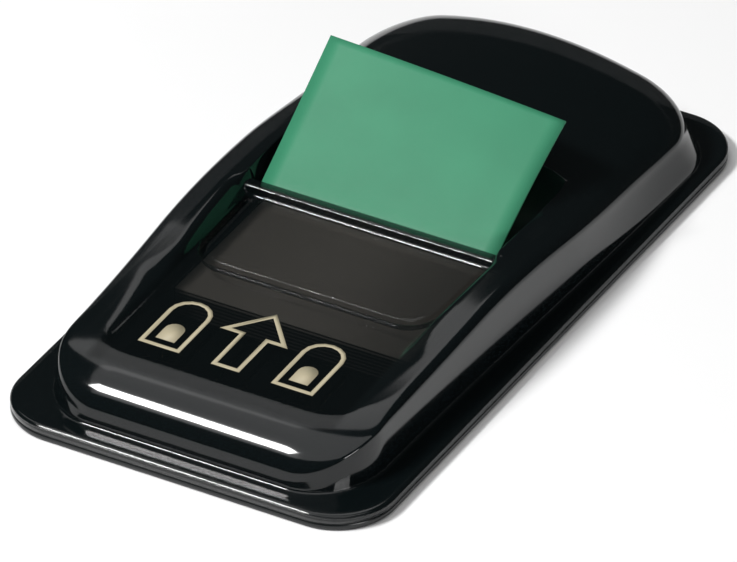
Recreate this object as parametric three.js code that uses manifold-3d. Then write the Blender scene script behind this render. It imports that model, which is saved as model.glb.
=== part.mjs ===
// Pocket dispenser for sticky index tabs: a smoke-tinted domed cover on a flat black base,
// a pad of film tabs inside, and the leading tab standing in the slot.
// Millimetres, +Z up, origin on the table under the middle of the base, +Y towards the hooded end.

import * as THREE from 'three';
import { mergeVertices } from 'three/addons/utils/BufferGeometryUtils.js';
import Module from 'manifold-3d';

const wasm = await Module();
wasm.setup();

// Outline shared by the base and the cover's flange
const BODY_WIDTH = 40;
const BODY_LENGTH = 76;
const BODY_CORNER_R = 6.1;
const EDGE_R = 0.35;

// Base plate
const BASE_THICKNESS = 0.8;
const RIM_THICKNESS = 0.8;
const RIM_HEIGHT = 1.4;
const GUIDE_THICKNESS = 0.8;
const GUIDE_HEIGHT = 3.4;

// Cover: flange, wall, and the outline of the dome's foot
const FLANGE_THICKNESS = 0.8;
const WALL = 1.1;
const FOOT_HALF_FRONT = 17;
const FOOT_HALF_REAR = 18.8;
const FOOT_FRONT = 2.4;
const FOOT_REAR = 73.4;
const FOOT_CORNER_R = 7.2;
const FOOT_FILLET = 0.6;

// Cover: height of the dome along its middle, and how far it falls towards the sides
const LABEL_Z = 6.5;
const NOSE_SINK = 0.05;
const HOOD_Z = 10.5;
const RISE_START = 9;
const RISE_END = 62;
const CROWN_DROP = 3;
const CROWN_HALF = 16;
const CROWN_START = 24;
const CROWN_END = 60;

// Cover: draft of the wall, then the rounding into the top, for the sides, the nose and the rear
const SIDE_RUN = 1.2;
const SIDE_ROUND = 2;
const SIDE_ROUND_SHARE = 0.3;
const NOSE_RUN = 0.6;
const NOSE_ROUND = 6.2;
const NOSE_ROUND_SHARE = 0.88;
const REAR_RUN = 1;
const REAR_ROUND = 4.6;
const REAR_ROUND_SHARE = 0.5;

// Tabs
const TAB_WIDTH = 25.4;
const TAB_LENGTH = 43.2;
const FILM = 0.2;
const PACK_HEIGHT = 3.2;
const PACK_STEPS = 9;
const PACK_STAGGER = 0.15;
const PACK_FRONT = 22.5;
const TAB_LEAN = 33;
const TAB_OUT = 15.6;
const TAB_BEND_R = 1.2;
const TAB_TWIST = 1.1;

// Fits
const CLEARANCE = 0.3;
const TAB_SIDE_PLAY = 0.5;

// Slot, its lip, the tongue in front of it and the scoop behind it
const LIP_Y = 37.1;
const LIP_WIDTH = 1.9;
const LIP_RISE = 1;
const LIP_EDGE_R = 0.55;
const SLOT_LENGTH = 2.9;
const TONGUE_LENGTH = 9.6;
const TONGUE_INSET = 0.6;
const TONGUE_CORNER_R = 3;
const GROOVE_WIDTH = 0.7;
const GROOVE_DEPTH = 0.4;
const RECESS_DRAFT = 1.4;
const SCOOP_DIP = 0.3;
const SCOOP_RISE = 3.1;
const SCOOP_LENGTH = 10.4;

// Fineness of the curves
const CORNER_STEPS = 7;
const SIDE_STEPS = 20;
const END_STEPS = 4;
const ROUND_STEPS = 6;
const TOP_STEPS = 4;
const PROFILE_STEPS = 8;

// Worked-out places, measured from the front edge like FOOT_FRONT above
const FLANGE_TOP = BASE_THICKNESS + FLANGE_THICKNESS;
const NOSE_Z = LABEL_Z - NOSE_SINK;
const SLOT_HALF = TAB_WIDTH / 2 + TAB_SIDE_PLAY;
const SLOT_FRONT = LIP_Y + LIP_WIDTH / 2;
const SLOT_REAR = SLOT_FRONT + SLOT_LENGTH;
const SCOOP_END = SLOT_REAR + SCOOP_LENGTH;
const PACK_REAR = PACK_FRONT + TAB_LENGTH;
const PACK_BOTTOM = BASE_THICKNESS + CLEARANCE;
const PACK_TOP = PACK_BOTTOM + PACK_HEIGHT;
const CUT = 4;
const SEAM_OVERLAP = 0.2;

const smokePlastic = new THREE.MeshStandardMaterial({ color: 0x15181a, roughness: 0.08, metalness: 0 });
const blackPlastic = new THREE.MeshStandardMaterial({ color: 0x0b0c0d, roughness: 0.2, metalness: 0 });
const clearPad = new THREE.MeshStandardMaterial({ color: 0xcfcabd, roughness: 0.6, metalness: 0 });
const greenFilm = new THREE.MeshStandardMaterial({ color: 0x4fa57c, roughness: 0.55, metalness: 0 });

const along = (fromFront) => fromFront - BODY_LENGTH / 2;
const mix = (a, b, t) => a + (b - a) * t;

function ease(from, to, value) {
  const t = Math.min(1, Math.max(0, (value - from) / (to - from)));
  return t * t * (3 - 2 * t);
}

// Solid from a geometry, and geometry from a solid
function toSolid(geometry) {
  const bare = geometry.index ? geometry.toNonIndexed() : geometry.clone();
  bare.deleteAttribute('normal');
  bare.deleteAttribute('uv');
  const merged = mergeVertices(bare, 1e-5);
  return new wasm.Manifold(new wasm.Mesh({
    numProp: 3,
    vertProperties: new Float32Array(merged.attributes.position.array),
    triVerts: new Uint32Array(merged.index.array),
  }));
}

function toGeometry(solid) {
  const mesh = solid.getMesh();
  const geometry = new THREE.BufferGeometry();
  const places = new Float32Array(mesh.numVert * 3);
  for (let i = 0; i < mesh.numVert; i++) {
    for (let k = 0; k < 3; k++) places[3 * i + k] = mesh.vertProperties[mesh.numProp * i + k];
  }
  geometry.setAttribute('position', new THREE.BufferAttribute(places, 3));
  geometry.setIndex(new THREE.BufferAttribute(new Uint32Array(mesh.triVerts), 1));
  geometry.computeVertexNormals();
  return geometry;
}

// Closed skin over a stack of rings that have the same number of points, bottom ring first,
// each ring anticlockwise seen from above
function loft(rings) {
  const count = rings[0].length;
  const places = rings.flat().flatMap((p) => [p.x, p.y, p.z]);
  const index = [];
  for (let r = 0; r + 1 < rings.length; r++) {
    for (let i = 0; i < count; i++) {
      const a = r * count + i;
      const b = r * count + ((i + 1) % count);
      index.push(a, b, b + count, a, b + count, a + count);
    }
  }
  const flat = (ring) => ring.map((p) => new THREE.Vector2(p.x, p.y));
  for (const [a, b, c] of THREE.ShapeUtils.triangulateShape(flat(rings[0]), [])) index.push(a, c, b);
  const last = (rings.length - 1) * count;
  for (const [a, b, c] of THREE.ShapeUtils.triangulateShape(flat(rings.at(-1)), [])) {
    index.push(last + a, last + b, last + c);
  }
  const geometry = new THREE.BufferGeometry();
  geometry.setAttribute('position', new THREE.Float32BufferAttribute(places, 3));
  geometry.setIndex(index);
  return geometry;
}

// Rounded outline with its corner radius, as points with the share of each that faces an end
function ring(half, front, rear, radius) {
  const r = Math.min(radius, half * 0.95, (rear - front) * 0.45);
  const points = [];
  const corners = [
    [half - r, rear - r, 0], [-half + r, rear - r, 1], [-half + r, front + r, 2], [half - r, front + r, 3],
  ];
  corners.forEach(([cx, cy, quarter], k) => {
    const arc = [];
    for (let i = 0; i <= CORNER_STEPS; i++) {
      const angle = (quarter + i / CORNER_STEPS) * Math.PI / 2;
      arc.push({ x: cx + r * Math.cos(angle), y: cy + r * Math.sin(angle), facing: Math.sin(angle) });
    }
    points.push(...arc);
    const [nx, ny, nextQuarter] = corners[(k + 1) % 4];
    const start = arc.at(-1);
    const next = nextQuarter * Math.PI / 2;
    const goal = { x: nx + r * Math.cos(next), y: ny + r * Math.sin(next) };
    const steps = k % 2 === 0 ? END_STEPS : SIDE_STEPS;
    for (let i = 1; i < steps; i++) {
      const t = i / steps;
      points.push({ x: mix(start.x, goal.x, t), y: mix(start.y, goal.y, t), facing: start.facing });
    }
  });
  return points;
}

// Height of the dome's top before anything is cut into it
function topHeight(x, fromFront) {
  const middle = mix(NOSE_Z, HOOD_Z, ease(RISE_START, RISE_END, fromFront));
  const fall = CROWN_DROP * ease(CROWN_START, CROWN_END, fromFront) * (x / CROWN_HALF) ** 2;
  return middle - fall;
}

// The dome swells towards the rear: every ring is drawn at the rear's width and narrowed by this
function taper(fromFront) {
  return mix(FOOT_HALF_FRONT, FOOT_HALF_REAR, ease(FOOT_FRONT, FOOT_REAR, fromFront)) / FOOT_HALF_REAR;
}

// Inset and share of the height at each ring of one face: a drafted wall, then a quarter round
function faceProfile(run, round, share) {
  const steps = [{ inset: 0, rise: 0 }, { inset: run / 2, rise: (1 - share) / 2 }];
  for (let i = 0; i <= ROUND_STEPS; i++) {
    const angle = (i / ROUND_STEPS) * Math.PI / 2;
    steps.push({ inset: run + round * (1 - Math.cos(angle)), rise: 1 - share * (1 - Math.sin(angle)) });
  }
  return steps;
}

// Dome, drawn smaller by the offset on every side; its floor lies at the height given
function dome(offset, floor) {
  const side = faceProfile(SIDE_RUN, SIDE_ROUND, SIDE_ROUND_SHARE);
  const nose = faceProfile(NOSE_RUN, NOSE_ROUND, NOSE_ROUND_SHARE);
  const rear = faceProfile(REAR_RUN, REAR_ROUND, REAR_ROUND_SHARE);
  const place = (half, front, back, radius, heightAt) => ring(half, front, back, radius).map((p) => {
    const x = p.x * taper(p.y);
    return new THREE.Vector3(x, along(p.y), heightAt(x, p));
  });
  const rings = [];
  const half = FOOT_HALF_REAR - offset;
  const front = FOOT_FRONT + offset;
  const back = FOOT_REAR - offset;
  const radius = FOOT_CORNER_R - offset;
  const flare = offset === 0 ? FOOT_FILLET : 0;
  rings.push(place(half + flare, front - flare, back + flare, radius + flare, () => floor));
  for (let i = 0; i < side.length; i++) {
    const lift = (x, p) => {
      const ends = p.facing > 0 ? rear[i].rise : nose[i].rise;
      const rise = mix(side[i].rise, ends, p.facing ** 2);
      const foot = FLANGE_TOP + flare;
      return mix(foot, topHeight(x, p.y) - offset, rise);
    };
    rings.push(place(half - side[i].inset, front + nose[i].inset, back - rear[i].inset, radius, lift));
  }
  const last = side.length - 1;
  const edge = {
    half: half - side[last].inset, front: front + nose[last].inset, back: back - rear[last].inset,
  };
  for (let i = 1; i <= TOP_STEPS; i++) {
    const inset = (edge.half - 1) * (i / TOP_STEPS);
    const flat = (x, p) => topHeight(x, p.y) - offset;
    rings.push(place(edge.half - inset, edge.front + inset, edge.back - inset, radius, flat));
  }
  return toSolid(loft(rings));
}

// Upright block between two heights, from a rounded outline that may widen upwards
function block(half, front, rear, radius, low, high, draft = 0) {
  const level = (grow, z) => ring(half + grow, front - grow, rear + grow, radius + grow)
    .map((p) => new THREE.Vector3(p.x, along(p.y), z));
  return toSolid(loft([level(0, low), level(draft, high)]));
}

// Slab with the body's outline and softened edges
function slab(low, high, roundLow, roundHigh) {
  const level = (inset, z) => ring(BODY_WIDTH / 2 - inset, inset, BODY_LENGTH - inset, BODY_CORNER_R - inset)
    .map((p) => new THREE.Vector3(p.x, along(p.y), z));
  const soften = (height, direction) => [0, 1, 2].map((i) => {
    const angle = (i / 2) * Math.PI / 2;
    return level(EDGE_R * (1 - Math.sin(angle)), height + direction * EDGE_R * (1 - Math.cos(angle)));
  });
  const bottom = roundLow ? soften(low, 1) : [level(0, low)];
  const top = roundHigh ? soften(high, -1).reverse() : [level(0, high)];
  return toSolid(loft([...bottom, ...top]));
}

// Profile drawn along the body (from the front edge, height) and drawn out across it
function acrossBody(outline, half) {
  const shape = new THREE.Shape(outline.map(([y, z]) => new THREE.Vector2(along(y), z)));
  const geometry = new THREE.ExtrudeGeometry(shape, { depth: 2 * half, bevelEnabled: false, curveSegments: 1 });
  geometry.rotateX(Math.PI / 2);
  geometry.rotateZ(Math.PI / 2);
  geometry.translate(-half, 0, 0);
  return geometry;
}

// Shallow level recess for the label and the tongue, open at the nose
function labelRecess(grow) {
  const low = LABEL_Z - grow;
  return block(SLOT_HALF + grow, FOOT_FRONT - CUT, SLOT_FRONT + grow, CUT, low, HOOD_Z + CUT, RECESS_DRAFT);
}

// Scoop behind the slot, whose floor climbs to the front edge of the hood
function scoop(grow) {
  const floor = LABEL_Z - SCOOP_DIP - grow;
  const outline = [[SLOT_FRONT - grow, HOOD_Z + CUT], [SLOT_FRONT - grow, floor], [SLOT_REAR, floor]];
  for (let i = 1; i <= PROFILE_STEPS; i++) {
    const t = i / PROFILE_STEPS;
    outline.push([mix(SLOT_REAR, SCOOP_END, Math.sin(t * Math.PI / 2)), floor + SCOOP_RISE * t * t]);
  }
  outline.push([SCOOP_END + grow, floor + SCOOP_RISE], [SCOOP_END + 2 * grow + RECESS_DRAFT, HOOD_Z + CUT]);
  return toSolid(acrossBody(outline, SLOT_HALF + grow));
}

// Rounded bar along the front of the slot, over which a tab is drawn
function lipBar() {
  const outline = [];
  const corners = [
    [LIP_Y + LIP_WIDTH / 2 - LIP_EDGE_R, 0], [LIP_Y - LIP_WIDTH / 2 + LIP_EDGE_R, 1],
  ];
  for (const [centre, quarter] of corners) {
    for (let i = 0; i <= PROFILE_STEPS; i++) {
      const angle = (quarter + i / PROFILE_STEPS) * Math.PI / 2;
      outline.push([
        centre + LIP_EDGE_R * Math.cos(angle),
        LABEL_Z + LIP_RISE - LIP_EDGE_R + LIP_EDGE_R * Math.sin(angle),
      ]);
    }
  }
  outline.push([LIP_Y - LIP_WIDTH / 2, LABEL_Z - WALL], [LIP_Y + LIP_WIDTH / 2, LABEL_Z - WALL]);
  return toSolid(acrossBody(outline, SLOT_HALF + SEAM_OVERLAP));
}

// Groove round the front and sides of the tongue
function tongueGroove() {
  const half = SLOT_HALF - TONGUE_INSET;
  const rear = LIP_Y - LIP_WIDTH / 2;
  const front = rear - TONGUE_LENGTH;
  const low = LABEL_Z - GROOVE_DEPTH;
  const high = LABEL_Z + CUT;
  const outer = block(half, front, rear + CUT, TONGUE_CORNER_R, low, high);
  const inner = block(
    half - GROOVE_WIDTH, front + GROOVE_WIDTH, rear + 2 * CUT, TONGUE_CORNER_R - GROOVE_WIDTH, low - 1, high + 1,
  );
  const behindLip = block(BODY_WIDTH, rear, rear + 3 * CUT, 0.1, low - 1, high + 1);
  return outer.subtract(inner).subtract(behindLip);
}

// One-piece moulded cover: flange, domed shell, recess, lip, slot and scoop
function cover() {
  const flange = slab(BASE_THICKNESS, FLANGE_TOP, false, true);
  const outside = flange
    .add(dome(0, FLANGE_TOP - SEAM_OVERLAP))
    .subtract(labelRecess(0))
    .subtract(scoop(0));
  const hollow = dome(WALL, BASE_THICKNESS - CUT)
    .subtract(labelRecess(WALL))
    .subtract(scoop(WALL));
  const slot = block(SLOT_HALF, SLOT_FRONT, SLOT_REAR, 0.2, LABEL_Z - CUT, LABEL_Z + CUT);
  return outside.subtract(hollow).add(lipBar()).subtract(tongueGroove()).subtract(slot);
}

// Flat base plate with a locating rim inside the dome's foot and two guides beside the pad
function base() {
  const seat = WALL + CLEARANCE + NOSE_RUN;
  const rimHalf = FOOT_HALF_FRONT - seat;
  const rimFront = FOOT_FRONT + seat;
  const rimRear = FOOT_REAR - seat;
  const rimRadius = FOOT_CORNER_R - seat;
  const low = BASE_THICKNESS - SEAM_OVERLAP;
  const rimTop = BASE_THICKNESS + RIM_HEIGHT;
  const rim = block(rimHalf, rimFront, rimRear, rimRadius, low, rimTop).subtract(block(
    rimHalf - RIM_THICKNESS, rimFront + RIM_THICKNESS, rimRear - RIM_THICKNESS,
    rimRadius - RIM_THICKNESS, low - 1, rimTop + 1,
  ));
  let plate = slab(0, BASE_THICKNESS, true, false).add(rim);
  const guideInside = TAB_WIDTH / 2 + CLEARANCE;
  for (const side of [-1, 1]) {
    const guide = new THREE.BoxGeometry(GUIDE_THICKNESS, TAB_LENGTH, GUIDE_HEIGHT + SEAM_OVERLAP);
    guide.translate(
      side * (guideInside + GUIDE_THICKNESS / 2),
      along(PACK_FRONT + TAB_LENGTH / 2),
      low + (GUIDE_HEIGHT + SEAM_OVERLAP) / 2,
    );
    plate = plate.add(toSolid(guide));
  }
  return plate;
}

// Pad of tabs: alternate groups stand a little proud at either end, as their glued ends alternate
function tabPad() {
  const step = PACK_HEIGHT / PACK_STEPS;
  const front = [];
  const rear = [];
  for (let i = 0; i < PACK_STEPS; i++) {
    const shift = i % 2 === 0 ? PACK_STAGGER : -PACK_STAGGER;
    const low = PACK_BOTTOM + i * step;
    rear.push([PACK_REAR + shift, low], [PACK_REAR + shift, low + step]);
    front.unshift([PACK_FRONT + shift, low + step], [PACK_FRONT + shift, low]);
  }
  return acrossBody([...rear, ...front], TAB_WIDTH / 2);
}

// Middle line of the leading tab: flat on the pad from its rear, round the lip's foot, then leaning back
function tabLine() {
  const lean = THREE.MathUtils.degToRad(TAB_LEAN);
  const low = PACK_TOP + CLEARANCE + FILM / 2;
  const centreY = SLOT_FRONT + CLEARANCE + FILM / 2 + TAB_BEND_R;
  const line = [[PACK_REAR - CLEARANCE, low]];
  const steps = 2 * PROFILE_STEPS;
  for (let i = 0; i <= steps; i++) {
    const angle = -Math.PI / 2 - (i / steps) * (Math.PI - lean);
    line.push([centreY + TAB_BEND_R * Math.cos(angle), low + TAB_BEND_R + TAB_BEND_R * Math.sin(angle)]);
  }
  const [y, z] = line.at(-1);
  for (let i = 1; i <= PROFILE_STEPS; i++) {
    const run = TAB_OUT * (i / PROFILE_STEPS);
    line.push([y + run * Math.cos(lean), z + run * Math.sin(lean)]);
  }
  return line;
}

// Leading tab: the film's line given its thickness and width, its tip slightly twisted
function leadingTab() {
  const line = tabLine();
  const offsetLine = (distance) => line.map(([y, z], i) => {
    const [py, pz] = line[Math.max(0, i - 1)];
    const [qy, qz] = line[Math.min(line.length - 1, i + 1)];
    const length = Math.hypot(qy - py, qz - pz);
    return [y - distance * (qz - pz) / length, z + distance * (qy - py) / length];
  });
  const outline = [...offsetLine(FILM / 2), ...offsetLine(-FILM / 2).reverse()];
  const geometry = acrossBody(outline, TAB_WIDTH / 2);
  const places = geometry.attributes.position;
  const foot = LABEL_Z + LIP_RISE;
  const reach = TAB_OUT * Math.sin(THREE.MathUtils.degToRad(TAB_LEAN));
  for (let i = 0; i < places.count; i++) {
    const share = Math.max(0, (places.getZ(i) - foot) / reach);
    places.setZ(i, places.getZ(i) - TAB_TWIST * share * share * places.getX(i) / TAB_WIDTH);
  }
  return geometry;
}

function piece(name, geometry, material) {
  const mesh = new THREE.Mesh(geometry, material);
  mesh.name = name;
  return mesh;
}

const dispenser = new THREE.Group();
dispenser.add(
  piece('base', toGeometry(base()), blackPlastic),
  piece('cover', toGeometry(cover()), smokePlastic),
  piece('tab_pad', tabPad(), clearPad),
  piece('leading_tab', leadingTab(), greenFilm),
);

export default dispenser;
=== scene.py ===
"""Pocket dispenser for sticky index tabs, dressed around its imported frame.

Sizes inside the classes are millimetres, with distances along the body counted from its front
edge; a finished mesh is scaled to metres and laid in the frame's own coordinates.
"""

import logging
import math
from collections.abc import Callable, Iterable, Mapping, Sequence
from dataclasses import dataclass
from enum import Enum

import bmesh
import bpy
from mathutils import Matrix, Vector


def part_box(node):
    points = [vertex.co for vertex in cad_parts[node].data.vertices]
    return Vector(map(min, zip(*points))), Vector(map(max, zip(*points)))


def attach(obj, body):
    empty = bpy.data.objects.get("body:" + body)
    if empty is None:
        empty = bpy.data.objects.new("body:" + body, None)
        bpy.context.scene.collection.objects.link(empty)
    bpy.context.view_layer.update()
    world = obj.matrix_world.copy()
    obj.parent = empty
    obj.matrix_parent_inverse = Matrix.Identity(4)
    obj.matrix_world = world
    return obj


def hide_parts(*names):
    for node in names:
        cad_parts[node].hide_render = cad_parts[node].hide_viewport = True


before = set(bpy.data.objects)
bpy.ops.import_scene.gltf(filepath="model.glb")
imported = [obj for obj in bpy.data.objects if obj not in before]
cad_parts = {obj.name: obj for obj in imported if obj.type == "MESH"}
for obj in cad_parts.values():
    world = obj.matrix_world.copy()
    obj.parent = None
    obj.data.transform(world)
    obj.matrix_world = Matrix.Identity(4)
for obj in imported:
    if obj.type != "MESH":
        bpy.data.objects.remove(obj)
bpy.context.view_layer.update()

BODY = "root"
METRE = 0.001
CLOSE = 1e-6
EDGE_STEPS = 5
Place = tuple[float, float, float]
Colour = tuple[float, float, float]
Socket = bpy.types.NodeSocket
Feed = Socket | float | tuple[float, ...]
log = logging.getLogger("tab_dispenser")


def mix(low: float, high: float, share: float) -> float:
    """The value that lies that share of the way from low to high."""
    return low + (high - low) * share


def ease(start: float, end: float, value: float) -> float:
    """Smooth step from 0 at start to 1 at end."""
    share = min(1.0, max(0.0, (value - start) / (end - start)))
    return share * share * (3.0 - 2.0 * share)


def soft_min(a: float, b: float, reach: float) -> float:
    """The lower of two heights, with the crease between them rounded over reach."""
    near = max(reach - abs(a - b), 0.0) / reach
    return min(a, b) - near * near * reach / 4.0


def soft_max(a: float, b: float, reach: float) -> float:
    """The higher of two heights, with the crease between them rounded over reach."""
    return -soft_min(-a, -b, reach)


def stations(zones: Iterable[tuple[float, float]], start: float) -> list[float]:
    """Places of grid lines, laid out zone by zone.

    Args:
        zones: the end of each zone and the wanted spacing inside it.
        start: where the first zone starts.

    Returns:
        The places in rising order, with every zone's end among them.
    """
    places = [start]
    for end, spacing in zones:
        begin = places[-1]
        steps = max(1, round((end - begin) / spacing))
        places += [mix(begin, end, (i + 1) / steps) for i in range(steps)]
    return places


class Slot(Enum):
    """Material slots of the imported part."""

    SMOKE = "smoke_plastic"
    BLACK = "black_plastic"
    PAD = "pad_film"
    GREEN = "green_film"


@dataclass(frozen=True)
class Spot:
    """A place on a rounded outline: one of its eight stretches, and the share along it.

    Even stretches are corners and odd ones straights, anticlockwise from the rear right corner.
    """

    stretch: int
    share: float


@dataclass(frozen=True)
class Outline:
    """Rounded rectangle, symmetric across the body."""

    half: float
    front: float
    rear: float
    radius: float

    def grown(self, by: float) -> "Outline":
        """The outline moved outwards on every side."""
        return Outline(self.half + by, self.front - by, self.rear + by, self.radius + by)

    def at(self, spot: Spot) -> tuple[float, float, float]:
        """Finds a spot on this outline.

        Args:
            spot: the stretch and share to find.

        Returns:
            Distance across, distance from the front edge, and how far the spot faces an end.
        """
        centres = (
            (self.half - self.radius, self.rear - self.radius),
            (self.radius - self.half, self.rear - self.radius),
            (self.radius - self.half, self.front + self.radius),
            (self.half - self.radius, self.front + self.radius),
        )
        corner = spot.stretch // 2
        across, along = centres[corner]
        if spot.stretch % 2 == 0:
            angle = (corner + spot.share) * math.pi / 2
            return (
                across + self.radius * math.cos(angle),
                along + self.radius * math.sin(angle),
                math.sin(angle),
            )
        angle = (corner + 1) * math.pi / 2
        next_across, next_along = centres[(corner + 1) % 4]
        return (
            mix(across, next_across, spot.share) + self.radius * math.cos(angle),
            mix(along, next_along, spot.share) + self.radius * math.sin(angle),
            math.sin(angle),
        )

    def from_grid(self, across: float, along: float) -> tuple[float, float]:
        """Bends a point of the square-cornered rectangle into the rounded outline."""
        p, q = self._corner_share(across, along)
        if p <= 0.0 or q <= 0.0:
            return across, along
        reach_across = self.half - self.radius + self.radius * p * math.sqrt(1 - q * q / 2)
        reach_along = self.radius * q * math.sqrt(1 - p * p / 2)
        middle = (self.front + self.rear) / 2
        inner = self.rear - self.radius if along > middle else self.front + self.radius
        bent_along = inner + math.copysign(reach_along, along - middle)
        return math.copysign(reach_across, across), bent_along

    def spot(self, across: float, along: float) -> Spot:
        """Names the spot of a point on the edge of the square-cornered rectangle.

        Args:
            across: distance across the body.
            along: distance from the front edge.

        Returns:
            The matching spot on the rounded outline.
        """
        p, q = self._corner_share(across, along)
        at_rear = along > (self.front + self.rear) / 2
        if p > 0.0 and q > 0.0:
            angle = math.atan2(q * math.sqrt(1 - p * p / 2), p * math.sqrt(1 - q * q / 2))
            share = angle / (math.pi / 2)
            if at_rear:
                return Spot(0, share) if across > 0 else Spot(2, 1 - share)
            return Spot(6, 1 - share) if across > 0 else Spot(4, share)
        side_length = self.rear - self.front - 2 * self.radius
        end_length = 2 * (self.half - self.radius)
        if q <= 0.0:
            run = (along - self.front - self.radius) / side_length
            return Spot(7, run) if across > 0 else Spot(3, 1 - run)
        run = (across + self.half - self.radius) / end_length
        return Spot(1, 1 - run) if at_rear else Spot(5, run)

    def _corner_share(self, across: float, along: float) -> tuple[float, float]:
        """How far a point reaches into a corner's square either way, 0 or less outside it."""
        p = (abs(across) - (self.half - self.radius)) / self.radius
        middle = (self.front + self.rear) / 2
        q = (abs(along - middle) - ((self.rear - self.front) / 2 - self.radius)) / self.radius
        return p, q


def spots_round(corner_steps: int, end_steps: int, side_steps: int) -> list[Spot]:
    """Spots all the way round an outline, anticlockwise from the rear right corner."""
    counts = (corner_steps, end_steps, corner_steps, side_steps) * 2
    return [Spot(k, i / count) for k, count in enumerate(counts) for i in range(count)]


@dataclass
class Skin:
    """A mesh that is grown ring by ring from its open edge."""

    bm: bmesh.types.BMesh
    rim: dict[bmesh.types.BMVert, Spot]

    @classmethod
    def from_circle(cls, spots: Sequence[Spot], place: Callable[[Spot], Place]) -> "Skin":
        """Starts with a flat face whose corners lie at the spots."""
        bm = bmesh.new()
        made = bmesh.ops.create_circle(bm, cap_ends=True, segments=len(spots), radius=1.0)
        rim = dict(zip(made["verts"], spots))
        for vert, spot in rim.items():
            vert.co = place(spot)
        return cls(bm, rim)

    def grow(self, place: Callable[[Spot], Place]) -> None:
        """Draws the open edge out to its next ring.

        Args:
            place: gives the new position of each spot.
        """
        edges = [e for e in self._rim_edges() if all(vert in self.rim for vert in e.verts)]
        known = {tuple(round(c, 6) for c in vert.co): spot for vert, spot in self.rim.items()}
        made = bmesh.ops.extrude_edge_only(self.bm, edges=edges)
        fresh = [g for g in made["geom"] if isinstance(g, bmesh.types.BMVert)]
        self.rim = {vert: known[tuple(round(c, 6) for c in vert.co)] for vert in fresh}
        for vert, spot in self.rim.items():
            vert.co = place(spot)

    def close(self) -> None:
        """Fills the open edge with one face."""
        bmesh.ops.contextual_create(self.bm, geom=self._rim_edges())

    def _rim_edges(self) -> list[bmesh.types.BMEdge]:
        """Open edges that touch the rim."""
        edges = dict.fromkeys(e for vert in self.rim for e in vert.link_edges)
        return [e for e in edges if len(e.link_faces) == 1]


@dataclass(frozen=True)
class Body:
    """Outer sizes of the dispenser, read from the frame."""

    width: float
    length: float
    corner: float = 6.1

    @classmethod
    def from_frame(cls) -> "Body":
        """Measures the base node of the frame."""
        low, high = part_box("base")
        return cls(width=(high[0] - low[0]) / METRE, length=(high[1] - low[1]) / METRE)

    @property
    def outline(self) -> Outline:
        """The outline of the base and the flange."""
        return Outline(self.width / 2, 0.0, self.length, self.corner)

    def finish(self, bm: bmesh.types.BMesh, name: str) -> bpy.types.Object:
        """Turns a mesh in millimetres from the front edge into a smooth object, faces outwards.

        Args:
            bm: the drawn mesh, which is used up.
            name: the object's name.

        Returns:
            The linked object, its origin at the frame's origin.
        """
        bmesh.ops.recalc_face_normals(bm, faces=bm.faces[:])
        if bm.calc_volume(signed=True) < 0.0:
            bmesh.ops.reverse_faces(bm, faces=bm.faces[:])
        shift = Matrix.Translation((0.0, -self.length / 2, 0.0))
        bmesh.ops.transform(bm, matrix=Matrix.Scale(METRE, 4) @ shift, verts=bm.verts[:])
        mesh = bpy.data.meshes.new(name)
        bm.to_mesh(mesh)
        bm.free()
        mesh.shade_smooth()
        piece = bpy.data.objects.new(name, mesh)
        bpy.context.scene.collection.objects.link(piece)
        return piece


@dataclass(frozen=True)
class Face:
    """Section of the dome from its foot to its top: a drafted wall, then a quarter round."""

    run: float
    round: float
    share: float

    def at(self, step: float, wall_part: float) -> tuple[float, float]:
        """Finds a point of the section.

        Args:
            step: 0 at the foot to 1 at the top.
            wall_part: share of the steps that the wall takes.

        Returns:
            Inset from the foot, and share of the height.
        """
        if step < wall_part:
            up = step / wall_part
            return self.run * up, (1 - self.share) * up
        angle = (step - wall_part) / (1 - wall_part) * math.pi / 2
        inset = self.run + self.round * (1 - math.cos(angle))
        return inset, 1 - self.share * (1 - math.sin(angle))


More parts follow.
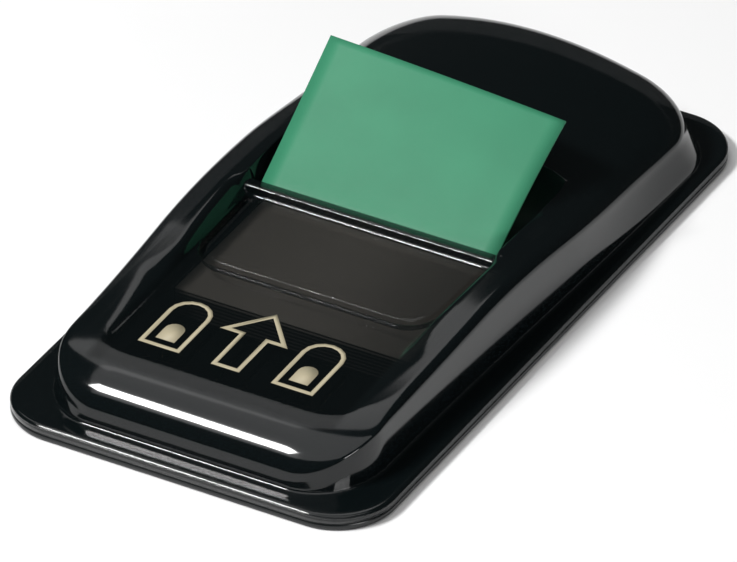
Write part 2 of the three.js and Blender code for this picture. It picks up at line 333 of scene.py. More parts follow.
@dataclass
class Cover:
    """The smoke-tinted moulding: flange, dome, recess with its tongue, lip, slot and scoop."""

    body: Body
    base_top: float = 0.8
    seam: float = 0.03
    flange: float = 0.8
    edge_round: float = 0.35
    wall: float = 1.1
    foot: Outline = Outline(18.8, 2.4, 73.4, 7.2)
    foot_half_front: float = 17.0
    foot_fillet: float = 0.3
    label_height: float = 6.5
    label_cut: float = 0.05
    hood_height: float = 10.5
    rise: tuple[float, float] = (5.0, 62.0)
    crown_drop: float = 3.8
    crown_half: float = 16.0
    crown_rise: tuple[float, float] = (27.0, 64.0)
    side: Face = Face(0.4, 1.0, 0.16)
    rear_side: Face = Face(1.2, 2.0, 0.3)
    side_change: tuple[float, float] = (44.0, 62.0)
    nose: Face = Face(0.2, 6.6, 0.88)
    back: Face = Face(1.0, 4.6, 0.5)
    wall_part: float = 0.25
    dome_rings: int = 20
    flange_shares: tuple[float, ...] = (0.12, 0.5, 0.88, 1.0)
    hidden_spacing: float = 2.5
    recess_half: float = 13.7
    recess_slopes: tuple[float, float, float] = (0.45, 1.5, 4.0)
    recess_turn: tuple[float, float] = (20.0, 26.0)
    scoop_turn: tuple[float, float] = (35.6, 38.4)
    foot_crease: float = 0.2
    edge_crease: float = 0.6
    slot_front: float = 38.05
    slot_length: float = 2.9
    lip_width: float = 1.45
    lip_rise: float = 0.95
    lip_edge: float = 0.35
    lip_overlap: float = 0.3
    lip_crease: float = 0.15
    tongue: Outline = Outline(13.7, 24.5, 50.0, 3.4)
    groove_width: float = 0.8
    groove_depth: float = 0.75
    groove_flat: float = 0.27
    scoop_dip: float = 0.3
    scoop_rise: float = 3.1
    scoop_length: float = 10.4
    scoop_end_slope: float = 5.0

    @property
    def flange_top(self) -> float:
        """Height of the flange's upper face."""
        return self.base_top + self.flange

    @property
    def lip_front(self) -> float:
        """Where the lip rises from the tongue."""
        return self.slot_front - self.lip_width

    @property
    def slot_rear(self) -> float:
        """Where the slot ends and the scoop begins."""
        return self.slot_front + self.slot_length

    @property
    def scoop_end(self) -> float:
        """Where the scoop meets the hood."""
        return self.slot_rear + self.scoop_length

    def taper(self, along: float) -> float:
        """Width of the dome at a distance from the front, as a share of its width at the rear."""
        ratio = self.foot_half_front / self.foot.half
        return mix(ratio, 1.0, ease(self.foot.front, self.foot.rear, along))

    def squeeze(self, across: float, along: float, amount: float) -> float:
        """Draws the outer part of the dome in towards the rear, where its sides are rounder.

        Args:
            across: distance across the body.
            along: distance from the front edge.
            amount: how far the sides come in at the rear.

        Returns:
            The new distance across.
        """
        outer = self.foot.half - self.side.run - self.side.round
        past_scoop = ease(self.scoop_end, self.scoop_end + 6, along)
        start = mix(self.recess_half + 0.5, outer / 2, past_scoop)
        share = min(1.0, max(0.0, (abs(across) - start) / (outer - start)))
        return across - math.copysign(amount * share * ease(*self.side_change, along), across)

    def top_height(self, across: float, along: float) -> float:
        """Height of the uncut dome above the table."""
        middle = mix(self.label_height - self.label_cut, self.hood_height, ease(*self.rise, along))
        fall = self.crown_drop * ease(*self.crown_rise, along) * (across / self.crown_half) ** 2
        return middle - fall

    def floor_height(self, along: float) -> float:
        """Height of the recess and scoop floors, which climbs on steeply past the hood's edge."""
        if along < self.slot_front:
            return self.label_height
        low = self.label_height - self.scoop_dip
        if along < self.slot_rear:
            return low
        share = (along - self.slot_rear) / self.scoop_length
        if share >= 1.0:
            return low + self.scoop_rise + self.scoop_end_slope * (along - self.scoop_end)
        turn = math.asin(share) / (math.pi / 2)
        return low + self.scoop_rise * turn * turn

    def skin_height(self, across: float, along: float, inside: float = 0.0) -> float:
        """Height of the finished top skin.

        Args:
            across: distance across the body.
            along: distance from the front edge.
            inside: 0 for the outer skin, or the wall's thickness for the inner one.

        Returns:
            The height above the table.
        """
        wide = abs(across) / self.taper(along)
        gentle, slanted, steep = self.recess_slopes
        slope = mix(gentle, slanted, ease(*self.recess_turn, along))
        slope = mix(slope, steep, ease(*self.scoop_turn, along))
        side_wall = soft_max(0.0, slope * (wide - self.recess_half - inside), self.foot_crease)
        height = soft_min(
            self.top_height(across, along) - inside,
            self.floor_height(along) - inside + side_wall,
            self.edge_crease,
        )
        if inside > 0.0:
            return height
        return self._with_lip(height, wide, along) - self._groove_cut(wide, along)

    def _with_lip(self, height: float, wide: float, along: float) -> float:
        """Raises the height to the lip, a bar with rounded edges, where it is the higher."""
        middle = self.slot_front - self.lip_width / 2
        away = abs(along - middle)
        edge = away - (self.lip_width / 2 - self.lip_edge)
        if edge > self.lip_edge or wide > self.recess_half + self.lip_overlap:
            return height
        bar = self.label_height + self.lip_rise
        if edge > 0.0:
            bar -= self.lip_edge - math.sqrt(max(self.lip_edge**2 - edge**2, 0.0))
        return soft_max(height, bar, self.lip_crease)

    def _groove_cut(self, wide: float, along: float) -> float:
        """Depth of the groove round the tongue at a point in front of the lip."""
        if along > self.lip_front:
            return 0.0
        in_across = wide - (self.tongue.half - self.tongue.radius)
        in_along = (self.tongue.front + self.tongue.radius) - along
        corner = math.hypot(max(in_across, 0.0), max(in_along, 0.0))
        distance = corner + min(max(in_across, in_along), 0.0) - self.tongue.radius
        middle = abs(distance + self.groove_width / 2)
        flat = self.groove_width * self.groove_flat
        return self.groove_depth * (1 - ease(flat, self.groove_width * 0.5, middle))

    def _plateau(self, inside: float) -> Outline:
        """Outline where the rounded sides meet the top."""
        return Outline(
            self.foot.half - inside - self.side.run - self.side.round,
            self.foot.front + inside + self.nose.run + self.nose.round,
            self.foot.rear - inside - self.back.run - self.back.round,
            self.foot.radius - inside,
        )

    def _lines(self, plateau: Outline, inside: float) -> tuple[list[float], list[float]]:
        """Places of the top's grid lines, closer where the form turns sharply."""
        fine = 1.0 if inside == 0.0 else self.hidden_spacing
        half_lines = stations(
            (
                (self.tongue.half - self.tongue.radius, 0.8),
                (self.tongue.half - self.groove_width - 0.3, 0.2 * fine),
                (self.tongue.half + 0.1, 0.06 * fine),
                (self.recess_half + 0.9, 0.07 * fine),
                (plateau.half, 0.3),
            ),
            0.0,
        )
        across = [-p for p in reversed(half_lines[1:])] + half_lines
        along = stations(
            (
                (self.tongue.front - 0.3, 0.6),
                (self.tongue.front + self.groove_width + 0.1, 0.06 * fine),
                (self.tongue.front + self.tongue.radius, 0.2 * fine),
                (self.lip_front - 0.1, 0.4),
                (self.slot_front, 0.066 * fine),
                (self.slot_rear, 0.5),
                (self.slot_rear + 0.6, 0.15),
                (self.scoop_end - 0.8, 0.4),
                (self.scoop_end + 1.2, 0.1 * fine),
                (plateau.rear, 0.55),
            ),
            plateau.front,
        )
        return across, along

    def _draw_top(self, bm: bmesh.types.BMesh, inside: float) -> Skin:
        """Draws the top of one skin as a bent grid and opens the slot in it.

        Args:
            bm: the mesh to draw in.
            inside: 0 for the outer skin, or the wall's thickness for the inner one.

        Returns:
            The skin, open at the plateau's outline.
        """
        plateau = self._plateau(inside)
        narrower = self.rear_side.run + self.rear_side.round - self.side.run - self.side.round
        across, along = self._lines(plateau, inside)
        last_column, last_row = len(across) - 1, len(along) - 1
        made = bmesh.ops.create_grid(bm, x_segments=last_column, y_segments=last_row, size=1.0)
        rim: dict[bmesh.types.BMVert, Spot] = {}
        in_slot: set[bmesh.types.BMVert] = set()
        for vert in made["verts"]:
            column = round((vert.co.x + 1) / 2 * last_column)
            row = round((vert.co.y + 1) / 2 * last_row)
            if column in (0, last_column) or row in (0, last_row):
                rim[vert] = plateau.spot(across[column], along[row])
            within = abs(across[column]) <= self.recess_half - self.groove_width + CLOSE
            if within and self.slot_front - CLOSE <= along[row] <= self.slot_rear + CLOSE:
                in_slot.add(vert)
            x, y = plateau.from_grid(across[column], along[row])
            x = self.squeeze(x, y, narrower) * self.taper(y)
            vert.co = (x, y, self.skin_height(x, y, inside))
        opening = {face for vert in in_slot for face in vert.link_faces}
        opening = [face for face in opening if all(vert in in_slot for vert in face.verts)]
        bmesh.ops.delete(bm, geom=opening, context="FACES")
        return Skin(bm, rim)

    def _draw_side(self, skin: Skin, inside: float) -> None:
        """Draws one skin's sides from the plateau down to the dome's foot."""
        fillet = self.foot_fillet if inside == 0.0 else 0.0
        low = self.flange_top + fillet
        for ring in range(1, self.dome_rings + 1):
            step = 1 - ring / self.dome_rings
            (side_in, side_up), (far_in, far_up), (nose_in, nose_up), (back_in, back_up) = (
                face.at(step, self.wall_part)
                for face in (self.side, self.rear_side, self.nose, self.back)
            )
            outline = Outline(
                self.foot.half - inside - side_in,
                self.foot.front + inside + nose_in,
                self.foot.rear - inside - back_in,
                self.foot.radius - inside,
            )

            def place(spot: Spot) -> Place:
                """Position of a spot on this ring of the dome."""
                x, y, facing = outline.at(spot)
                x = self.squeeze(x, y, far_in - side_in) * self.taper(y)
                flank_up = mix(side_up, far_up, ease(*self.side_change, y))
                rise = mix(flank_up, back_up if facing > 0 else nose_up, facing**2)
                return x, y, mix(low, self.top_height(x, y) - inside, rise)

            skin.grow(place)

    def _draw_flange(self, skin: Skin) -> None:
        """Draws the fillet at the dome's foot, the flange and its rounded edge."""
        for i in range(1, EDGE_STEPS + 1):
            angle = i / EDGE_STEPS * math.pi / 2
            outline = self.foot.grown(self.foot_fillet * (1 - math.cos(angle)))
            height = self.flange_top + self.foot_fillet * (1 - math.sin(angle))

            def place_fillet(spot: Spot) -> Place:
                """Position of a spot on this ring of the fillet."""
                x, y, _ = outline.at(spot)
                return x * self.taper(y), y, height

            skin.grow(place_fillet)
        foot = self.foot.grown(self.foot_fillet)
        edge = self.body.outline.grown(-self.edge_round)
        for share in self.flange_shares:

            def place_flat(spot: Spot) -> Place:
                """Position of a spot on this ring of the flange's top."""
                x, y, _ = foot.at(spot)
                x *= self.taper(y)
                far_x, far_y, _ = edge.at(spot)
                return mix(x, far_x, share), mix(y, far_y, share), self.flange_top

            skin.grow(place_flat)
        for i in range(1, EDGE_STEPS + 1):
            angle = i / EDGE_STEPS * math.pi / 2
            outline = edge.grown(self.edge_round * math.sin(angle))
            height = self.flange_top - self.edge_round * (1 - math.cos(angle))
            skin.grow(lambda spot: (*outline.at(spot)[:2], height))
        low = self.base_top + self.seam
        skin.grow(lambda spot: (*self.body.outline.at(spot)[:2], low))

    def _slot_edges(self, bm: bmesh.types.BMesh) -> list[bmesh.types.BMEdge]:
        """The open edges round the slot, on both skins."""
        front, rear = self.slot_front - 0.5, self.slot_rear + 0.5
        low = self.label_height - 2 * self.wall

        def at_slot(vert: bmesh.types.BMVert) -> bool:
            """Whether a corner lies at the slot."""
            x, y, z = vert.co
            return front < y < rear and abs(x) < self.recess_half and z > low

        return [e for e in bm.edges if e.is_boundary and all(map(at_slot, e.verts))]

    def build(self) -> bpy.types.Object:
        """Draws the cover as one closed shell."""
        bm = bmesh.new()
        outer = self._draw_top(bm, 0.0)
        self._draw_side(outer, 0.0)
        self._draw_flange(outer)
        inner = self._draw_top(bm, self.wall)
        self._draw_side(inner, self.wall)
        mouth = self.foot.grown(-self.wall)

        def place_mouth(spot: Spot) -> Place:
            """Position of a spot on the hollow's mouth, level with the flange's underside."""
            x, y, _ = mouth.at(spot)
            return x * self.taper(y), y, self.base_top + self.seam

        inner.grow(place_mouth)
        bmesh.ops.bridge_loops(bm, edges=self._slot_edges(bm))
        under = [e for e in bm.edges if e.is_boundary]
        bmesh.ops.bridge_loops(bm, edges=under)
        return self.body.finish(bm, "smoke_cover")


@dataclass
class Base:
    """The black plate, with a rim that locates the cover and a guide on each side of the pad."""

    body: Body
    cover: Cover
    rim_seat: float = 2.0
    rim_thickness: float = 0.8
    rim_height: float = 1.4
    guide_inside: float = 13.0
    guide_thickness: float = 0.8
    guide_height: float = 3.4
    guide_run: tuple[float, float] = (22.5, 65.7)
    guide_round: float = 0.2
    sink: float = 0.2

    def _draw_plate(self) -> Skin:
        """Draws the underside, the rounded lower edge and the edge up to the seam."""
        edge = self.body.outline.grown(-self.cover.edge_round)
        rounding = self.cover.edge_round
        spots = spots_round(corner_steps=14, end_steps=8, side_steps=20)
        skin = Skin.from_circle(spots, lambda spot: (*edge.at(spot)[:2], 0.0))
        for i in range(1, EDGE_STEPS + 1):
            angle = i / EDGE_STEPS * math.pi / 2
            outline = edge.grown(rounding * math.sin(angle))
            height = rounding * (1 - math.cos(angle))
            skin.grow(lambda spot: (*outline.at(spot)[:2], height))
        skin.grow(lambda spot: (*self.body.outline.at(spot)[:2], self.cover.base_top))
        return skin

    def _draw_rim(self, skin: Skin) -> None:
        """Draws the plate's upper face and the rim that stands on it."""
        low = self.cover.base_top
        high = low + self.rim_height
        foot = self.cover.foot
        narrow = Outline(self.cover.foot_half_front, foot.front, foot.rear, foot.radius)
        seat = narrow.grown(-self.rim_seat)
        inside = seat.grown(-self.rim_thickness)
        for outline, height in ((seat, low), (seat, high), (inside, high), (inside, low)):
            skin.grow(lambda spot: (*outline.at(spot)[:2], height))
        skin.close()

    def _draw_guides(self, bm: bmesh.types.BMesh) -> None:
        """Draws the two guides, with their upper edges rounded."""
        front, rear = self.guide_run
        low = self.cover.base_top - self.sink
        high = self.cover.base_top + self.guide_height
        size = (self.guide_thickness, rear - front, high - low)
        for side in (-1, 1):
            made = bmesh.ops.create_cube(bm, size=1.0)
            across = side * (self.guide_inside + self.guide_thickness / 2)
            bmesh.ops.scale(bm, vec=size, verts=made["verts"])
            middle = (across, (front + rear) / 2, (low + high) / 2)
            bmesh.ops.translate(bm, vec=middle, verts=made["verts"])
            edges = {e for v in made["verts"] for e in v.link_edges}
            upper = [e for e in edges if all(v.co.z > high - CLOSE for v in e.verts)]
            bmesh.ops.bevel(
                bm,
                geom=upper,
                offset=self.guide_round,
                segments=3,
                profile=0.5,
                affect="EDGES",
                material=-1,
            )

    def build(self) -> bpy.types.Object:
        """Draws the base."""
        skin = self._draw_plate()
        self._draw_rim(skin)
        self._draw_guides(skin.bm)
        return self.body.finish(skin.bm, "base_plate")


@dataclass
class TabPad:
    """The stack of film tabs, whose glued ends alternate from one tab to the next."""

    body: Body
    width: float = 25.4
    run: tuple[float, float] = (22.5, 65.7)
    bottom: float = 1.1
    height: float = 3.2
    layers: int = 16
    stagger: float = 0.03

    def build(self) -> bpy.types.Object:
        """Draws the stack's stepped side and extrudes it across the body."""
        bm = bmesh.new()
        step = self.height / self.layers
        front: list[tuple[float, float]] = []
        rear: list[tuple[float, float]] = []
        for layer in range(self.layers):
            shift = self.stagger if layer % 2 == 0 else -self.stagger
            low = self.bottom + layer * step
            rear += [(self.run[1] + shift, low), (self.run[1] + shift, low + step)]
            front += [(self.run[0] + shift, low), (self.run[0] + shift, low + step)]
        outline = rear + front[::-1]
        made = bmesh.ops.create_circle(bm, cap_ends=True, segments=len(outline), radius=1.0)
        for vert, (along, height) in zip(made["verts"], outline):
            vert.co = (-self.width / 2, along, height)
        grown = bmesh.ops.extrude_face_region(bm, geom=bm.faces[:])
        moved = [g for g in grown["geom"] if isinstance(g, bmesh.types.BMVert)]
        bmesh.ops.translate(bm, vec=(self.width, 0.0, 0.0), verts=moved)
        return self.body.finish(bm, "tab_stack")


@dataclass
class LeadingTab:
    """The tab that comes off the pad, turns up through the slot and leans over the scoop."""

    body: Body
    cover: Cover
    width: float = 25.4
    film: float = 0.2
    start: float = 65.4
    low: float = 4.7
    bend: float = 1.2
    gap: float = 0.3
    lean: float = 33.0
    out: float = 15.6
    sag: float = 0.55
    twist: float = 1.8
    bow: float = 0.12
    columns: int = 16
    flat_steps: int = 12
    turn_steps: int = 18
    out_steps: int = 24

    def _line(self) -> list[tuple[float, float]]:
        """Middle line of the film, as distance from the front edge and height."""
        lean = math.radians(self.lean)
        centre = self.cover.slot_front + self.gap + self.film / 2 + self.bend
        flat = self.flat_steps
        line = [(mix(self.start, centre, i / flat), self.low) for i in range(flat)]
        for i in range(self.turn_steps + 1):
            angle = -math.pi / 2 - i / self.turn_steps * (math.pi - lean)
            height = self.low + self.bend * (1 + math.sin(angle))
            line.append((centre + self.bend * math.cos(angle), height))
        along, height = line[-1]
        for i in range(1, self.out_steps + 1):
            run = self.out * i / self.out_steps
            line.append((along + run * math.cos(lean), height + run * math.sin(lean)))
        return line

    def build(self) -> bpy.types.Object:
        """Draws the film as a bent grid and thickens it."""
        bm = bmesh.new()
        line = self._line()
        rows = len(line) - 1
        made = bmesh.ops.create_grid(bm, x_segments=self.columns, y_segments=rows, size=1.0)
        foot = self.cover.label_height + self.cover.lip_rise
        reach = self.out * math.sin(math.radians(self.lean))
        for vert in made["verts"]:
            side = vert.co.x
            row = round((vert.co.y + 1) / 2 * rows)
            along, height = line[row]
            before, after = line[max(0, row - 1)], line[min(rows, row + 1)]
            length = math.hypot(after[0] - before[0], after[1] - before[1])
            away = (-(after[1] - before[1]) / length, (after[0] - before[0]) / length)
            share = max(0.0, (height - foot) / reach)
            along -= away[0] * self.film / 2
            height -= away[1] * self.film / 2
            height -= (self.sag + self.twist * side / 2) * share**2
            height += self.bow * share * (1 - side**2)
            vert.co = (side * self.width / 2, along, height)
        bmesh.ops.recalc_face_normals(bm, faces=bm.faces[:])
        bmesh.ops.solidify(bm, geom=bm.faces[:], thickness=self.film)
        return self.body.finish(bm, "film_tab")


@dataclass
class LabelPrint:
    """Plain printed guide on the label: an arrow to the slot, between two outlined tabs."""

    body: Body
    cover: Cover
    lift: float = 0.02
    ink: float = 0.02
    line: float = 0.45
    front: float = 10.6
    arrow_middle: float = -0.5
    arrow_rear: float = 20.4
    tab_middles: tuple[float, float] = (-7.6, 6.6)
    tab_half: float = 2.2
    tab_rear: float = 18.6
    mark_half: float = 1.0
    mark_run: tuple[float, float] = (11.8, 14.6)

    def _draw_patch(
        self, bm: bmesh.types.BMesh, corners: Sequence[tuple[float, float]], line: float = 0.0
    ) -> None:
        """Draws one flat shape, filled or as an outline.

        Args:
            bm: the mesh to draw in.
            corners: corners in order, as distance across and from the front edge.
            line: the outline's width, or 0 for a filled shape.
        """
        made = bmesh.ops.create_circle(bm, cap_ends=True, segments=len(corners), radius=1.0)
        for vert, (across, along) in zip(made["verts"], corners):
            vert.co = (across, along, 0.0)
        face = made["verts"][0].link_faces[0]
        face.normal_update()
        if line > 0.0:
            bmesh.ops.inset_region(
                bm, faces=[face], thickness=line, use_even_offset=True, use_boundary=True
            )
            bmesh.ops.delete(bm, geom=[face], context="FACES")

    def _arrow(self) -> list[tuple[float, float]]:
        """Corners of the arrow that points at the slot."""
        head, shaft, wing = 4.4, 1.5, 3.6
        neck = self.arrow_rear - head
        right = [(shaft, self.front), (shaft, neck), (wing, neck)]
        left = [(-across, along) for across, along in reversed(right)]
        corners = [left[-1], *right, (0.0, self.arrow_rear), *left[:-1]]
        return [(self.arrow_middle + across, along) for across, along in corners]

    def _tab(
        self, middle: float, half: float, front: float, rear: float
    ) -> list[tuple[float, float]]:
        """Corners of a tab with one rounded end."""
        steps = 8
        arc = [
            (
                middle + half * math.cos(math.pi * i / steps),
                rear - half + half * math.sin(math.pi * i / steps),
            )
            for i in range(steps + 1)
        ]
        return [(middle - half, front), (middle + half, front), *arc]

    def build(self) -> bpy.types.Object:
        """Draws the print and lays it on the label."""
        bm = bmesh.new()
        self._draw_patch(bm, self._arrow(), self.line)
        for middle in self.tab_middles:
            tab = self._tab(middle, self.tab_half, self.front, self.tab_rear)
            self._draw_patch(bm, tab, self.line)
            self._draw_patch(bm, self._tab(middle, self.mark_half, *self.mark_run))
        bmesh.ops.recalc_face_normals(bm, faces=bm.faces[:])
        grown = bmesh.ops.extrude_face_region(bm, geom=bm.faces[:])
        top = {g for g in grown["geom"] if isinstance(g, bmesh.types.BMVert)}
        for vert in bm.verts:
            height = self.cover.skin_height(vert.co.x, vert.co.y) + self.lift - self.ink
            vert.co.z = height + (self.ink if vert in top else 0.0)
        return self.body.finish(bm, "label_print")


class Sketch:
    """A material's node tree while it is drawn, with every pattern on object coordinates."""

    def __init__(self, name: str, specular: float) -> None:
        """Starts the material.

        Args:
            name: the material's name.
            specular: level of its plain reflection.
        """
        self.material = bpy.data.materials.new(name)
        self.material.use_nodes = True
        self.nodes = self.material.node_tree.nodes
        self.links = self.material.node_tree.links
        self.shader = self.nodes["Principled BSDF"]
        self.shader.inputs["Specular IOR Level"].default_value = specular
        self.place = self.nodes.new("ShaderNodeTexCoord").outputs["Object"]

    def feed(self, node: bpy.types.Node, inputs: Mapping[str | int, Feed]) -> None:
        """Sets a node's inputs.

        Args:
            node: the node.
            inputs: for each input its value, or the output that feeds it.
        """
        for name, feed in inputs.items():
            if isinstance(feed, Socket):
                self.links.new(feed, node.inputs[name])
            else:
                node.inputs[name].default_value = feed

    def node(
        self, kind: str, inputs: Mapping[str | int, Feed], output: str, **options: str
    ) -> Socket:
        """Adds a node.

        Args:
            kind: the node's type.
            inputs: for each input its value, or the output that feeds it.
            output: the wanted output.
            options: the node's own settings.

        Returns:
            The wanted output.
        """
        made = self.nodes.new(kind)
        for option, value in options.items():
            setattr(made, option, value)
        self.feed(made, inputs)
        return made.outputs[output]

    def axis(self, letter: str) -> Socket:
        """One coordinate of the place on the object."""
        return self.node("ShaderNodeSeparateXYZ", {"Vector": self.place}, letter)

    def noise(self, scale: float, detail: float = 2.0) -> Socket:
        """Even noise over the object."""
        inputs = {"Vector": self.place, "Scale": scale, "Detail": detail}
        return self.node("ShaderNodeTexNoise", inputs, "Fac")

    def spread(self, source: Socket, low: float, high: float) -> Socket:
        """Carries values from 0 to 1 over to values from low to high."""
        inputs = {"Value": source, "To Min": low, "To Max": high}
        return self.node("ShaderNodeMapRange", inputs, "Result")

    def level(self, change: tuple[float, float]) -> Socket:
        """Rises from 0 to 1 between two heights in millimetres."""
        low, high = (height * METRE for height in change)
        inputs = {"Value": self.axis("Z"), "From Min": low, "From Max": high}
        return self.node("ShaderNodeMapRange", inputs, "Result")

    def colour(self, share: Socket, low: Feed, high: Feed) -> None:
        """Colours the surface between two colours."""
        inputs = {"Factor": share, "A": low, "B": high}
        mixed = self.node("ShaderNodeMix", inputs, "Result", data_type="RGBA")
        self.feed(self.shader, {"Base Color": mixed})

    def roughen(self, source: Socket, low: float, high: float) -> None:
        """Spreads the surface's roughness over a pattern."""
        self.feed(self.shader, {"Roughness": self.spread(source, low, high)})

    def emboss(self, source: Socket, strength: float, depth: float) -> None:
        """Raises a pattern on the surface by a depth in millimetres."""
        inputs = {"Height": source, "Strength": strength, "Distance": depth * METRE}
        self.feed(self.shader, {"Normal": self.node("ShaderNodeBump", inputs, "Normal")})


@dataclass(frozen=True)
class ClearPatch:
    """Part of a tinted shell where its wall is thinner, so that more shows through it.

    It reaches half across on either side of the middle, and from front to rear along the body, in
    the frame's own coordinates; its border fades over a short run.
    """

    half: float
    front: float
    rear: float
    fade: float
    alpha: float

    def _within(self, sketch: Sketch, source: Socket, limit: float) -> Socket:
        """Falls from 1 to 0 where a distance passes its limit on either side."""
        away = sketch.node("ShaderNodeMath", {0: source}, "Value", operation="ABSOLUTE")
        inputs = {
            "Value": away,
            "From Min": limit * METRE,
            "From Max": (limit + self.fade) * METRE,
            "To Min": 1.0,
            "To Max": 0.0,
        }
        return sketch.node("ShaderNodeMapRange", inputs, "Result", interpolation_type="SMOOTHSTEP")

    def clear(self, sketch: Sketch, alpha: float) -> None:
        """Lets more show through the shell inside the patch.

        Args:
            sketch: the shell's material.
            alpha: the shell's alpha outside the patch.
        """
        middle = (self.front + self.rear) / 2 * METRE
        from_middle = {0: sketch.axis("Y"), 1: middle}
        along = sketch.node("ShaderNodeMath", from_middle, "Value", operation="SUBTRACT")
        sides = self._within(sketch, sketch.axis("X"), self.half)
        ends = self._within(sketch, along, (self.rear - self.front) / 2)
        both = sketch.node("ShaderNodeMath", {0: sides, 1: ends}, "Value", operation="MULTIPLY")
        sketch.feed(sketch.shader, {"Alpha": sketch.spread(both, alpha, self.alpha)})


@dataclass(frozen=True)
class Plastic:
    """Polished plastic with a faint moulding texture, and a clearer patch where it has one."""

    name: str
    colour: Colour
    roughness: float
    alpha: float = 1.0
    specular: float = 0.5
    smudge_scale: float = 90.0
    smudge_detail: float = 3.0
    smudge_range: tuple[float, float] = (0.8, 1.3)
    grain: float = 0.007
    grain_scale: float = 900.0
    grain_depth: float = 0.05
    patch: ClearPatch | None = None

    def build(self) -> bpy.types.Material:
        """Makes the material."""
        sketch = Sketch(self.name, self.specular)
        sketch.feed(sketch.shader, {"Base Color": (*self.colour, 1.0), "Alpha": self.alpha})
        smooth, rough = (self.roughness * share for share in self.smudge_range)
        sketch.roughen(sketch.noise(self.smudge_scale, self.smudge_detail), smooth, rough)
        sketch.emboss(sketch.noise(self.grain_scale), self.grain, self.grain_depth)
        if self.patch is not None:
            self.patch.clear(sketch, self.alpha)
        return sketch.material


@dataclass(frozen=True)
class TabStack:
    """Cut side of a stack of film: pale on top, and darker down its layered sides, which is
    painted shade.
    """

    name: str
    top: Colour
    # Dark colour below the change height: painted shade on the stack's sides.
    side: Colour
    change: tuple[float, float]
    layer: float = 0.2
    waver: float = 0.6
    specular: float = 0.3
    roughness: tuple[float, float] = (0.45, 0.7)
    relief: float = 0.2
    relief_depth: float = 0.03
    wave_rate: float = 20.0

    def build(self) -> bpy.types.Material:
        """Makes the material, with one band of Blender's wave pattern to each layer."""
        sketch = Sketch(self.name, self.specular)
        # Darker below the change height: painted shade on the sides, with the pale colour on top.
        sketch.colour(sketch.level(self.change), (*self.side, 1.0), (*self.top, 1.0))
        scale = 1 / (self.wave_rate * self.layer * METRE) * 2 * math.pi
        inputs = {"Vector": sketch.place, "Scale": scale, "Distortion": self.waver}
        bands = sketch.node("ShaderNodeTexWave", inputs, "Fac", bands_direction="Z")
        sketch.roughen(bands, *self.roughness)
        sketch.emboss(bands, self.relief, self.relief_depth)
        return sketch.material


@dataclass(frozen=True)
class TabFilm:
    """Matte tab film: its tip is coloured, and the stem below the given height is clear."""

    name: str
    tip: Colour
    stem: Colour
    change: tuple[float, float]
    specular: float = 0.25
    stem_alpha: float = 0.25
    mottle_scale: float = 160.0
    mottle_detail: float = 4.0
    mottle_places: tuple[float, float] = (0.3, 0.7)
    mottle_shades: tuple[float, float] = (0.95, 1.05)
    roughness: float = 0.5
    roughness_range: tuple[float, float] = (0.85, 1.15)
    grain: float = 0.1
    grain_scale: float = 4000.0
    grain_depth: float = 0.02

    def _tint(self, sketch: Sketch) -> Socket:
        """The tip's colour, faintly mottled."""
        mottle = sketch.noise(self.mottle_scale, self.mottle_detail)
        ramp = sketch.nodes.new("ShaderNodeValToRGB")
        sketch.feed(ramp, {"Fac": mottle})
        stops = zip(ramp.color_ramp.elements, self.mottle_places, self.mottle_shades)
        for stop, place, shade in stops:
            stop.position = place
            stop.color = (*(shade * part for part in self.tip), 1.0)
        return ramp.outputs["Color"]

    def build(self) -> bpy.types.Material:
        """Makes the material."""
        sketch = Sketch(self.name, self.specular)
        tip = sketch.level(self.change)
        sketch.colour(tip, (*self.stem, 1.0), self._tint(sketch))
        sketch.feed(sketch.shader, {"Alpha": sketch.spread(tip, self.stem_alpha, 1.0)})
        grain = sketch.noise(self.grain_scale)
        smooth, rough = (self.roughness * share for share in self.roughness_range)
        sketch.roughen(grain, smooth, rough)
        sketch.emboss(grain, self.grain, self.grain_depth)
        return sketch.material


def dress(
    piece: bpy.types.Object, material: bpy.types.Material, slot: str, *nodes: str
) -> None:
    """Dresses a piece and ties it to the part.

    Args:
        piece: the finished piece.
        material: its finish.
        slot: the part's material slot that it stands for; not used.
        nodes: the part's nodes that it replaces.
    """
    piece.data.materials.clear()
    piece.data.materials.append(material)
    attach(piece, BODY)
    if nodes:
        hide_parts(*nodes)


@dataclass(frozen=True)
class Lamp:
    """Soft rectangular light that faces the object, in metres and watts."""

    name: str
    towards: Place
    distance: float
    size: tuple[float, float]
    power: float

    def build(self) -> None:
        """Adds the light."""
        data = bpy.data.lights.new(self.name, "AREA")
        data.shape = "RECTANGLE"
        data.size, data.size_y = self.size
        data.energy = self.power
        lamp = bpy.data.objects.new(self.name, data)
        direction = Vector(self.towards).normalized()
        lamp.location = direction * self.distance
        lamp.rotation_mode = "QUATERNION"
        lamp.rotation_quaternion = direction.to_track_quat("Z", "Y")
        bpy.context.scene.collection.objects.link(lamp)


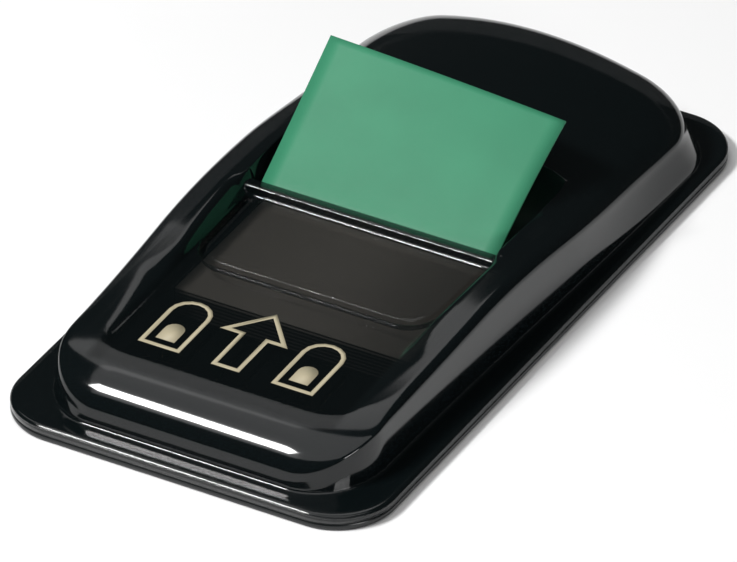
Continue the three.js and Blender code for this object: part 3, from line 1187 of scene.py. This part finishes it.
@dataclass(frozen=True)
class Studio:
    """Pale floor, soft lights and the camera at the photograph's angle."""

    azimuth: float = 29.32
    elevation: float = 34.22
    distance: float = 1.1315
    lens: float = 586.2
    sensor: float = 36.0
    aim_right: float = -0.000574
    aim_up: float = 0.000017
    clip: tuple[float, float] = (0.05, 20.0)
    floor_reach: float = 3.0
    floor_tone: float = 0.9
    floor_roughness: float = 0.9
    surround: float = 0.03
    lamps: tuple[Lamp, ...] = (
        Lamp("front_strip", (-0.405, -0.455, 0.79), 0.5, (0.13, 0.08), 2.2),
        Lamp("key", (-0.4, 0.4, 0.82), 0.6, (0.34, 0.24), 0.3),
        Lamp("overhead", (0.0, -0.25, 0.97), 0.7, (0.9, 0.75), 2.3),
        Lamp("right_spark", (0.86, -0.43, 0.27), 0.5, (0.18, 0.1), 0.6),
    )

    def camera(self) -> None:
        """Places the camera and makes it the scene's."""
        a, e = math.radians(self.azimuth), math.radians(self.elevation)
        back = Vector((math.sin(a) * math.cos(e), -math.cos(a) * math.cos(e), math.sin(e)))
        right = Vector((math.cos(a), math.sin(a), 0.0))
        up = back.cross(right)
        data = bpy.data.cameras.new("camera")
        data.lens, data.sensor_width = self.lens, self.sensor
        data.clip_start, data.clip_end = self.clip
        camera = bpy.data.objects.new("camera", data)
        camera.location = right * self.aim_right + up * self.aim_up + back * self.distance
        camera.rotation_mode = "QUATERNION"
        camera.rotation_quaternion = (-back).to_track_quat("-Z", "Y")
        bpy.context.scene.collection.objects.link(camera)
        bpy.context.scene.camera = camera

    def floor(self) -> None:
        """Lays the pale floor."""
        bm = bmesh.new()
        bmesh.ops.create_grid(bm, x_segments=1, y_segments=1, size=self.floor_reach)
        mesh = bpy.data.meshes.new("floor")
        bm.to_mesh(mesh)
        bm.free()
        ground = bpy.data.objects.new("floor", mesh)
        bpy.context.scene.collection.objects.link(ground)
        material = bpy.data.materials.new("pale_floor")
        material.use_nodes = True
        shader = material.node_tree.nodes["Principled BSDF"]
        tone = self.floor_tone
        shader.inputs["Base Color"].default_value = (tone, tone, tone, 1.0)
        shader.inputs["Roughness"].default_value = self.floor_roughness
        mesh.materials.append(material)

    def world(self) -> None:
        """Sets a dim even surround."""
        world = bpy.data.worlds.new("surround")
        world.use_nodes = True
        background = world.node_tree.nodes["Background"]
        background.inputs["Color"].default_value = (1.0, 1.0, 1.0, 1.0)
        background.inputs["Strength"].default_value = self.surround
        bpy.context.scene.world = world

    def build(self) -> None:
        """Sets up the whole studio."""
        self.camera()
        self.floor()
        self.world()
        for lamp in self.lamps:
            lamp.build()
        bpy.context.scene.view_settings.view_transform = "Standard"


def main() -> None:
    """Builds the dispenser and its studio, and reports each piece."""
    logging.basicConfig(level=logging.INFO, format="%(name)s: %(message)s")
    body = Body.from_frame()
    cover = Cover(body)
    patch = ClearPatch(half=12.6, front=-31.0, rear=0.2, fade=0.8, alpha=0.54)
    smoke = Plastic("smoke_plastic", (0.003, 0.005, 0.0055), 0.08, alpha=0.9, patch=patch)
    black = Plastic("black_plastic", (0.003, 0.0045, 0.005), 0.25)
    # The stack's dark side colour is painted shade.
    stack = TabStack("pad_film", (0.62, 0.57, 0.5), (0.06, 0.055, 0.05), change=(3.7, 4.25))
    green = TabFilm("green_film", (0.04, 0.225, 0.122), (0.3, 0.3, 0.28), change=(6.0, 6.3))
    cream = Plastic("print_ink", (0.42, 0.37, 0.25), 0.6)
    pieces = (
        (cover.build(), smoke, Slot.SMOKE, ("cover",)),
        (Base(body, cover).build(), black, Slot.BLACK, ("base",)),
        (TabPad(body).build(), stack, Slot.PAD, ("tab_pad",)),
        (LeadingTab(body, cover).build(), green, Slot.GREEN, ("leading_tab",)),
        (LabelPrint(body, cover).build(), cream, Slot.PAD, ()),
    )
    for piece, finish, slot, nodes in pieces:
        dress(piece, finish.build(), slot.value, *nodes)
        log.info("%s: %d faces", piece.name, len(piece.data.polygons))
    Studio().build()


if __name__ == "__main__":
    main()
